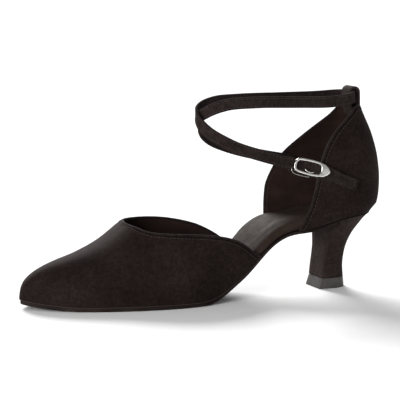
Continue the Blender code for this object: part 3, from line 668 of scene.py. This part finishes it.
def make_leather(name, tones, roughness, shine):
    """Smooth leather: fine pebbled grain under a soft finish, drawn out along the foot."""
    material, tree, shader = new_material(name)
    streaks = ramp(tree, noise(tree, waves=130, stretch=(0.22, 1, 1)), greys(0.80, 1.22))
    patches = ramp(tree, noise(tree, waves=60, detail=4), tones, start=0.3, end=0.7)
    tree.links.new(blended(tree, patches, streaks), shader.inputs["Base Color"])
    rough = ramp(tree, noise(tree, waves=260), greys(roughness - 0.03, roughness + 0.04))
    tree.links.new(rough, shader.inputs["Roughness"])
    shader.inputs["Specular IOR Level"].default_value = shine
    folds = Bump(noise(tree, waves=110, stretch=(0.25, 1, 1)), strength=0.45, height=0.0009)
    grain = Bump(grain_cells(tree, waves=900), strength=0.25, height=0.00012)
    bumped(tree, shader, folds, grain)
    return material


def make_thread(name, colour):
    """Matt thread with fine fibres, darker in between."""
    material, tree, shader = new_material(name)
    tones = (tuple(part * 0.7 for part in colour), colour)
    tone = ramp(tree, noise(tree, waves=700, detail=2), tones)
    tree.links.new(tone, shader.inputs["Base Color"])
    shader.inputs["Roughness"].default_value = 0.9
    shader.inputs["Specular IOR Level"].default_value = 0.08
    fibres = Bump(noise(tree, waves=2500, detail=2, stretch=(1, 1, 3)), strength=0.5, height=0.0001)
    bumped(tree, shader, fibres)
    return material


def make_silver(name):
    """Plated metal with a faint ripple and a few dull spots."""
    material, tree, shader = new_material(name)
    tone = ramp(tree, noise(tree, waves=220), SILVER_TONES)
    tree.links.new(tone, shader.inputs["Base Color"])
    rough = ramp(tree, noise(tree, waves=300), greys(0.10, 0.24))
    tree.links.new(rough, shader.inputs["Roughness"])
    shader.inputs["Metallic"].default_value = 1.0
    bumped(tree, shader, Bump(noise(tree, waves=400, detail=2), strength=0.12, height=0.0002))
    return material


def make_tip(name):
    """Dark grey hard plastic with faint moulding marks and rubbed patches."""
    material, tree, shader = new_material(name)
    marks = noise(tree, waves=150, detail=4)
    tree.links.new(ramp(tree, marks, TIP_TONES), shader.inputs["Base Color"])
    rough = ramp(tree, noise(tree, waves=500), greys(0.48, 0.66))
    tree.links.new(rough, shader.inputs["Roughness"])
    shader.inputs["Specular IOR Level"].default_value = 0.35
    moulding = Bump(marks, strength=0.15, height=0.0003)
    rubbing = Bump(noise(tree, waves=1200, detail=2), strength=0.3, height=0.0001)
    bumped(tree, shader, moulding, rubbing)
    return material


def make_materials():
    """Every finish by a short name."""
    return {
        "suede": make_suede("black_suede", SUEDE_TONES),
        "strap": make_suede("strap_suede", STRAP_AND_RIM_HIGHLIGHT_TONES),
        # Heel and loop: the black suede painted lighter, as painted light on them.
        "heel": make_suede("heel_suede", HEEL_TONES_PAINTED_LIGHTER),
        "lining": make_leather("lining", LINING_TONES, roughness=0.8, shine=0.1),
        "sock": make_leather("sock_leather", SOCK_TONES, roughness=0.72, shine=0.03),
        "sole": make_leather("sole_leather", SOLE_TONES, roughness=0.85, shine=0.05),
        "thread": make_thread("thread", THREAD_AND_SOLE_HIGHLIGHT_COLOUR),
        # Dark thread-like tubes of painted shade in grooves and gaps.
        "seam": make_thread("seam_shadow", SEAM_SHADE_COLOUR),
        "silver": make_silver("silver_plate"),
        "tip": make_tip("tip_plastic"),
    }


# Pieces of the shoe


def upper_piece(name, node, materials, creases):
    """A half of the upper: suede outside and round its edges, lining inside."""
    work = node_work(node)
    outer, inner = outer_and_inner(work)
    surface = Surface(outer)
    ring = border_loop(outer)
    for face in work.faces:
        face.material_index = 0
    for face in inner:
        face.material_index = 1
    skins = (materials["suede"], materials["lining"])
    mesh = fine_mesh(name, work, UPPER_LEVELS, UPPER_EDGE, skins)
    work.free()
    lay_creases(mesh, creases)
    link_piece(bpy.data.objects.new(name, mesh), (node,))
    return surface, ring


def edge_trim(prefix, line, surface, materials):
    """The turned edge along an opening, its fold line, which is a dark tube of painted shade in the
    groove there, and the row of stitches beside it.
    """
    normals, _ = line_frames(line, surface)
    middle = relaxed(line - normals * (WALL / 2), RIM_PASSES)
    # The lighter strap suede on the turned edge is a painted highlight along the rim.
    tube(prefix + "_turned_edge", middle, RIM_RADIUS, materials["strap"])
    fold = inset_line(line, surface, FOLD_INSET)
    # A dark tube of painted shade in the groove beside the turned edge.
    tube(prefix + "_fold_shade_line", fold, FOLD_RADIUS, materials["seam"], LINE_TAPER)
    row = inset_line(line, surface, STITCH_INSET)
    stitch_row(prefix + "_stitches", row, surface, materials["thread"])


def foot_line(name, ring, ends, through, radius, material):
    """A fine line round the foot of the upper, where it meets the sole or the heel. Along the sole it
    is a thread line at the seam, lighter than the suede as a painted highlight on the sole's top edge;
    above the heel it is a dark tube of painted shade in the gap.
    """
    path = [point + tucked(point) for point in path_on_loop(ring, *ends, through)]
    tube(name, smooth_line(path), radius, material, LINE_TAPER)


def add_vamp(materials):
    """The closed toe part, with its throat's edge and the line round its foot."""
    surface, ring = upper_piece("vamp_suede", "vamp", materials, VAMP_CREASES)
    outer_tip = max((point for point in ring if point.y < 0), key=lambda point: point.x)
    inner_tip = max((point for point in ring if point.y > 0), key=lambda point: point.x)
    tips = (outer_tip, inner_tip)
    throat = max(ring, key=lambda point: point.z)
    edge_trim("vamp", smooth_line(path_on_loop(ring, *tips, throat)), surface, materials)
    toe = min(ring, key=lambda point: point.x)
    # The light thread line at the seam along the sole is a painted highlight on the sole's top edge.
    foot_line("vamp_sole_highlight_line", ring, tips, toe, SOLE_LINE_RADIUS, materials["thread"])


def add_quarter(materials):
    """The heel part, with its top line's edge and the line round its foot."""
    surface, ring = upper_piece("quarter_suede", "quarter", materials, QUARTER_CREASES)
    outer_foot = min((point for point in ring if point.y < 0), key=lambda point: point.x + point.z)
    inner_foot = min((point for point in ring if point.y > 0), key=lambda point: point.x + point.z)
    feet = (outer_foot, inner_foot)
    top = max(ring, key=lambda point: point.z)
    edge_trim("quarter", smooth_line(path_on_loop(ring, *feet, top)), surface, materials)
    low = [point for point in ring if point.z < outer_foot.z + FOOT_RISE]
    back = max(low, key=lambda point: point.x)
    # A dark tube of painted shade in the gap between the quarter's foot and the heel.
    foot_line("quarter_heel_shade_line", ring, feet, back, HEEL_LINE_RADIUS, materials["seam"])


def edged_piece(name, node, levels, material, rounding):
    """A finer copy of one solid whose sharp edges are kept and then rounded a little."""
    work = node_work(node)
    mesh = fine_mesh(name, work, levels, KEPT_SHARP, (material,))
    work.free()
    piece = link_piece(bpy.data.objects.new(name, mesh), (node,))
    bevel = piece.modifiers.new("rounded", "BEVEL")
    bevel.width = rounding
    bevel.segments = ROUND_SEGMENTS
    bevel.limit_method = "ANGLE"
    bevel.angle_limit = SHARP


def band_rails(node):
    """The four long edges of a flat band, each a list of places from one end to the other."""
    work = welded(node)
    sharp = {edge for edge in work.edges if edge.calc_face_angle() > BAND_EDGE}
    corners = [v for v in work.verts if sum(edge in sharp for edge in v.link_edges) == 3]
    first = corners[0].co
    start = sorted(corners, key=lambda v: (v.co - first).length)[:4]
    rails = []
    for corner in start:
        rail = [corner]
        used = {edge for edge in corner.link_edges if edge.other_vert(corner) in start}
        while True:
            ahead = [edge for edge in rail[-1].link_edges if edge in sharp and edge not in used]
            if not ahead or (len(rail) > 1 and rail[-1] in corners):
                break
            used.add(ahead[0])
            rail.append(ahead[0].other_vert(rail[-1]))
        rails.append([vert.co.copy() for vert in rail])
    work.free()
    count = min(len(rail) for rail in rails)
    for rail in rails:
        while len(rail) > count:
            steps = [(b - a).length for a, b in zip(rail, rail[1:])]
            del rail[max(1, steps.index(min(steps)))]
    return [np.array(rail) for rail in rails]


def band_sections(node, step):
    """Middle, half width and half thickness at even steps along a flat band."""
    one, *others = band_rails(node)
    behind, beside, opposite = sorted(others, key=lambda rail: np.linalg.norm(rail[0] - one[0]))
    middle = (one + behind + beside + opposite) / 4
    across = (one + behind - beside - opposite) / 4
    through = (one - behind + beside - opposite) / 4
    travelled = travelled_along(middle)
    read = [evenly_read(rows, travelled, step) for rows in (middle, across, through)]
    return [relaxed(rows, MOVED_PASSES) for rows in read]


def band_outline():
    """The strap's section as a closed outline, in shares of half its width and thickness."""
    quarter = list(STRAP_SECTION)
    top = quarter + [(-x, y) for x, y in reversed(quarter[:-1])]
    return top + [(x, -y) for x, y in reversed(top[1:-1])]


def band_skin(middle, across, through):
    """Points and faces of a band: the strap's section at every step, smaller near the closed ends."""
    outline = band_outline()
    count = len(outline)
    last = len(middle) - 1
    points = []
    faces = []
    for i in range(last + 1):
        near = min(i, last - i)
        size = BAND_END[near] if near < len(BAND_END) else 1.0
        for x, y in outline:
            points.append(middle[i] + across[i] * (x * size) + through[i] * (y * size))
    for i in range(last):
        for j in range(count):
            a = i * count + j
            b = i * count + (j + 1) % count
            faces.append((a, b, b + count, a + count))
    faces.append(tuple(range(count))[::-1])
    faces.append(tuple(last * count + j for j in range(count)))
    return points, faces


def add_band(name, node, material, thread):
    """A flat band with rounded edges, sewn along both sides."""
    middle, across, through = band_sections(node, STRAP_STEP)
    points, faces = band_skin(middle, across, through)
    piece = mesh_piece(name, points, faces, material, (node,))
    work = bmesh.new()
    work.from_mesh(piece.data)
    bmesh.ops.recalc_face_normals(work, faces=work.faces)
    work.to_mesh(piece.data)
    surface = Surface(work.faces)
    work.free()
    # The stitches lie on the side that looks away from the foot
    halfway = len(middle) // 2
    if through[halfway][1] * middle[halfway][1] < 0:
        through = -through
    for side, word in ((1, "high"), (-1, "low")):
        row = middle + across * (side * STRAP_STITCH_ACROSS) + through
        stitch_row(f"{name}_stitches_{word}", row[2:-2], surface, thread)
    return middle, across, through, surface


def add_strap(materials):
    """The strap, with a row of stitches across its tail."""
    middle, across, through, surface = add_band(
        "strap_suede", "strap", materials["strap"], materials["thread"]
    )
    starts_at_tail = middle[0][0] > middle[-1][0]
    steps = round(TAIL_ROW / STRAP_STEP)
    at = steps if starts_at_tail else len(middle) - 1 - steps
    reach = np.linspace(-STRAP_STITCH_ACROSS, STRAP_STITCH_ACROSS, TAIL_POINTS)
    row = [middle[at] + across[at] * share + through[at] for share in reach]
    stitch_row("strap_suede_stitches_tail", row, surface, materials["thread"])


def buckle_axes():
    """Middle of the buckle's plate and its directions along, across and away from the foot."""
    places = np.array([vertex.co[:] for vertex in FRAME["nodes"]["buckle_frame"].data.vertices])
    middle = places.mean(axis=0)
    axes = np.linalg.svd(places - middle)[2]
    along = Vector(axes[0] * np.sign(axes[0][0]))
    across = Vector(axes[1] * np.sign(axes[1][2]))
    outward = along.cross(across)
    if outward.y > 0:
        outward = -outward
    middle = Vector(middle)
    for axis in (along, across):
        reach = [(Vector(place) - middle).dot(axis) for place in places]
        middle += axis * ((max(reach) + min(reach)) / 2)
    high = max((Vector(place) - middle).dot(outward) for place in places)
    return middle, along, across, outward, high


def wire_route(rows, axes):
    """Places along a bent wire, from a table in the buckle's own axes."""
    middle, along, across, outward, high = axes
    places = []
    for row in rows:
        place = middle + along * (row.along * BUCKLE_HALF_LENGTH)
        place += across * (row.across * BUCKLE_HALF_WIDTH) + outward * (high + row.out)
        places.append(place)
    return smooth_line(places, WIRE_STEP, MOVED_PASSES)


def add_buckle(materials):
    """The frame, rounded and polished, the hook in its window and the clip on its tab."""
    silver = materials["silver"]
    work = node_work("buckle_frame")
    mesh = bpy.data.meshes.new("buckle_silver")
    work.to_mesh(mesh)
    work.free()
    mesh.materials.append(silver)
    piece = link_piece(bpy.data.objects.new("buckle_silver", mesh), ("buckle_frame",))
    remesh = piece.modifiers.new("rounded", "REMESH")
    remesh.mode = "VOXEL"
    remesh.voxel_size = BUCKLE_VOXEL
    remesh.use_smooth_shade = True
    smooth = piece.modifiers.new("polished", "SMOOTH")
    smooth.factor = SMOOTH_FACTOR
    smooth.iterations = POLISH_PASSES
    axes = buckle_axes()
    tube("buckle_hook", wire_route(HOOK, axes), WIRE_RADIUS, silver, WIRE_TAPER)
    tube("buckle_clip", wire_route(CLIP, axes), CLIP_RADIUS, silver, WIRE_TAPER)


def sock_on_board():
    """The sock and the board under it in one smooth mesh, swollen a little."""
    work = node_work("sock")
    board = node_work("insole")
    held = bpy.data.meshes.new("board")
    board.to_mesh(held)
    board.free()
    work.from_mesh(held)
    bpy.data.meshes.remove(held)
    mesh = fine_mesh("sock_leather", work, SOCK_LEVELS)
    work.free()
    normals = [vertex.normal.copy() for vertex in mesh.vertices]
    for vertex, normal in zip(mesh.vertices, normals):
        seat = fade(vertex.co.x, SEAT_FROM, SEAT_TO)
        vertex.co += normal * SOCK_SWELL
        vertex.co += Vector((normal.x, normal.y, 0)) * (SEAT_SWELL * seat)
        vertex.co.z -= UNDER_DROP * (1 - seat) * fade(-normal.z, UNDER_FROM, UNDER_TO)
    return mesh


def soften(skin, sole):
    """Smooths a skin, but keeps its lowest edge, which lies on the sole, as sharp as it is."""
    under = bmesh.new()
    under.from_mesh(sole.data)
    surface = Surface(under.faces)
    under.free()
    work = bmesh.new()
    work.from_mesh(skin)
    free = [vert for vert in work.verts if surface.nearest(vert.co)[2] > KEPT_EDGE]
    for _ in range(SOFTEN_PASSES):
        bmesh.ops.smooth_vert(
            work, verts=free, factor=SMOOTH_FACTOR, use_axis_x=True, use_axis_y=True, use_axis_z=True
        )
    work.to_mesh(skin)
    work.free()


def add_sock(materials):
    """The padded sock and the leather that it wraps round the board at the bare waist."""
    holder = link(bpy.data.objects.new("sock_leather", sock_on_board()))
    remesh = holder.modifiers.new("one_skin", "REMESH")
    remesh.mode = "VOXEL"
    remesh.voxel_size = SOCK_VOXEL
    skin = applied(holder)
    soften(skin, FRAME["nodes"]["outsole"])
    lay_creases(skin, SOCK_CREASES, top_only=True)
    skin.materials.append(materials["sock"])
    skin.shade_smooth()
    sock = bpy.data.objects.new("sock_leather", skin)
    link_piece(sock, ("sock", "insole"))


def add_lower_parts(materials):
    """The sole, the heel with its tip, the loop on the quarter's back and the buckle's tab."""
    sole = materials["sole"]
    heel = materials["heel"]
    tip = materials["tip"]
    edged_piece("sole_leather", "outsole", SOLE_LEVELS, sole, SOLE_ROUND)
    # The heel and the loop take the suede that is painted lighter as painted light.
    edged_piece("heel_suede", "heel", BLOCK_LEVELS, heel, BLOCK_ROUND)
    edged_piece("heel_tip_plastic", "heel_tip", BLOCK_LEVELS, tip, BLOCK_ROUND)
    edged_piece("heel_loop_suede", "heel_loop", BLOCK_LEVELS, heel, BLOCK_ROUND)
    add_band("buckle_tab_suede", "buckle_tab", materials["strap"], materials["thread"])


# Room


def add_floor():
    """A wide pale floor under the shoe, which belongs to the room."""
    mesh = bpy.data.meshes.new("floor")
    half = FLOOR_HALF
    corners = [(-half, -half, 0), (half, -half, 0), (half, half, 0), (-half, half, 0)]
    mesh.from_pydata(corners, [], [(0, 1, 2, 3)])
    material, _, shader = new_material("pale_floor")
    shader.inputs["Base Color"].default_value = FLOOR_COLOUR
    shader.inputs["Roughness"].default_value = 0.9
    shader.inputs["Specular IOR Level"].default_value = 0.1
    mesh.materials.append(material)
    floor = link(bpy.data.objects.new("floor", mesh))


def facing(direction):
    """The turn of a lamp that shines in a direction."""
    return Vector(direction).to_track_quat("-Z", "Y").to_euler()


def add_fill():
    """A round lamp beside the toe."""
    light = bpy.data.lights.new("side_fill", "AREA")
    light.shape = "DISK"
    light.size = FILL_SIZE
    light.energy = FILL_POWER
    lamp = link(bpy.data.objects.new("side_fill", light))
    lamp.location = FILL_PLACE
    lamp.rotation_euler = facing(Vector(FILL_AIM) - Vector(FILL_PLACE))


def add_sun():
    """A far, soft lamp behind the shoe that lights the whole floor evenly."""
    light = bpy.data.lights.new("behind", "SUN")
    light.angle = math.radians(SUN_SOFTNESS)
    light.energy = SUN_STRENGTH
    lamp = link(bpy.data.objects.new("behind", light))
    lamp.rotation_euler = facing(SUN_TOWARDS)


def add_lights():
    """A plain white sky, the sun and the fill, shown without a film look."""
    world = bpy.data.worlds.new("studio")
    world.use_nodes = True
    sky = world.node_tree.nodes["Background"]
    sky.inputs["Color"].default_value = (1, 1, 1, 1)
    sky.inputs["Strength"].default_value = SKY_STRENGTH
    bpy.context.scene.world = world
    add_sun()
    add_fill()
    bpy.context.scene.view_settings.view_transform = "Standard"


def add_camera():
    """The camera at the photograph's angle."""
    camera = bpy.data.cameras.new("camera")
    camera.sensor_width = SENSOR
    camera.lens = SENSOR * FOCAL_PIXELS / PHOTO_SIZE
    camera.shift_x = -OFFSET_RIGHT / PHOTO_SIZE
    camera.shift_y = OFFSET_UP / PHOTO_SIZE
    turn = math.radians(TURN_TO_TOE)
    rise = math.radians(CAMERA_RISE)
    back = Vector((-math.sin(turn) * math.cos(rise), -math.cos(turn) * math.cos(rise), math.sin(rise)))
    holder = bpy.data.objects.new("camera", camera)
    holder.location = back * CAMERA_DISTANCE + Vector((0, 0, TARGET_HEIGHT))
    look = (-back).to_track_quat("-Z", "Y").to_matrix()
    roll = Matrix.Rotation(math.radians(CAMERA_ROLL), 3, "Z")
    holder.rotation_euler = (look @ roll).to_euler()
    bpy.context.scene.camera = link(holder)


def main():
    materials = make_materials()
    add_vamp(materials)
    add_quarter(materials)
    add_sock(materials)
    add_lower_parts(materials)
    add_strap(materials)
    add_buckle(materials)
    add_floor()
    add_lights()
    add_camera()


for old in list(bpy.data.objects):
    bpy.data.objects.remove(old)
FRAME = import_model()
CAD_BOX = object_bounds()
main()
